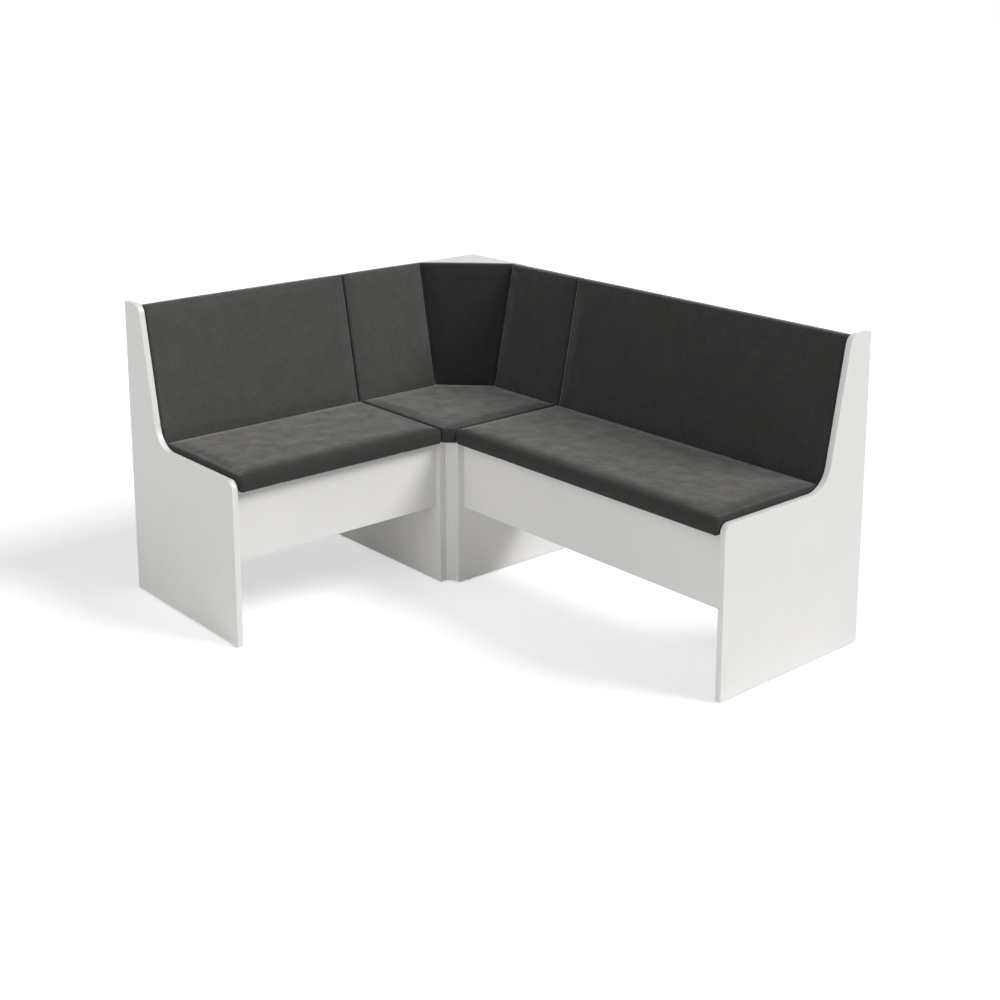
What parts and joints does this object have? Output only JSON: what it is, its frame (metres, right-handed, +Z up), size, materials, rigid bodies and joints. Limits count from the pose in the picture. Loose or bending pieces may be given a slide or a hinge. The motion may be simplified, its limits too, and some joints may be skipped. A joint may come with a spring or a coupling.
{
  "type": "corner bench",
  "caption": "L-shaped dining corner bench: white board panels, dark upholstered backs and seats, and straight seats that lift on hinges over storage chests.",
  "frame": {"origin": "on the floor, under the middle of the box round the whole bench", "axes": "+X along the long bench away from the room corner, +Y to the long bench's wall, +Z up"},
  "size_m": [1.49, 1.19, 0.8],
  "materials": {
    "white_board": "satin",
    "white_edging": "satin",
    "raw_board": "raw",
    "upholstery": "brushed",
    "steel": "zinc plated",
    "zinc": "cast",
    "beech": "raw",
    "glide_plastic": "matte"
  },
  "bodies": {
    "frame": {"corner_long_panel": "white_board", "corner_short_panel": "white_board", "corner_long_back_board": "raw_board", "corner_long_back_cushion": "upholstery", "corner_short_back_board": "raw_board", "corner_short_back_cushion": "upholstery", "corner_diagonal_back_board": "raw_board", "corner_diagonal_back_cushion": "upholstery", "corner_seat_board": "raw_board", "corner_seat_cushion": "upholstery", "corner_front_post": "white_board", "corner_seat_brace": "raw_board", "corner_top_plate": "white_board", "corner_lower_gusset": "raw_board", "corner_back_plates": "steel", "corner_brackets": "steel", "floor_glides": "glide_plastic", "long_end_panel": "white_board", "long_end_edging": "white_edging", "long_apron": "white_board", "long_chest_back": "white_board", "long_chest_floor": "white_board", "long_upper_rail": "raw_board", "long_lower_rail": "raw_board", "long_cam_locks": "zinc", "long_cam_bolts": "steel", "long_dowels": "beech", "long_hinge_frame_leaves": "steel", "long_hinge_pins": "steel", "long_back_board": "raw_board", "long_back_cushion": "upholstery", "short_end_panel": "white_board", "short_end_edging": "white_edging", "short_apron": "white_board", "short_chest_back": "white_board", "short_chest_floor": "white_board", "short_upper_rail": "raw_board", "short_lower_rail": "raw_board", "short_cam_locks": "zinc", "short_cam_bolts": "steel", "short_dowels": "beech", "short_hinge_frame_leaves": "steel", "short_hinge_pins": "steel", "short_back_board": "raw_board", "short_back_cushion": "upholstery"},
    "long_seat": {"long_seat_board": "raw_board", "long_seat_cushion": "upholstery", "long_hinge_lid_leaves": "steel"},
    "short_seat": {"short_seat_board": "raw_board", "short_seat_cushion": "upholstery", "short_hinge_lid_leaves": "steel"}
  },
  "joints": [
    {"name": "long_seat_hinge", "type": "hinge", "parent": "frame", "child": "long_seat", "pos_m": [0.2725, 0.3958, 0.399], "axis": [-1, 0, 0], "range_deg": [0, 94]},
    {"name": "short_seat_hinge", "type": "hinge", "parent": "frame", "child": "short_seat", "pos_m": [-0.5458, -0.2725, 0.399], "axis": [0, -1, 0], "range_deg": [0, 94]}
  ]
}
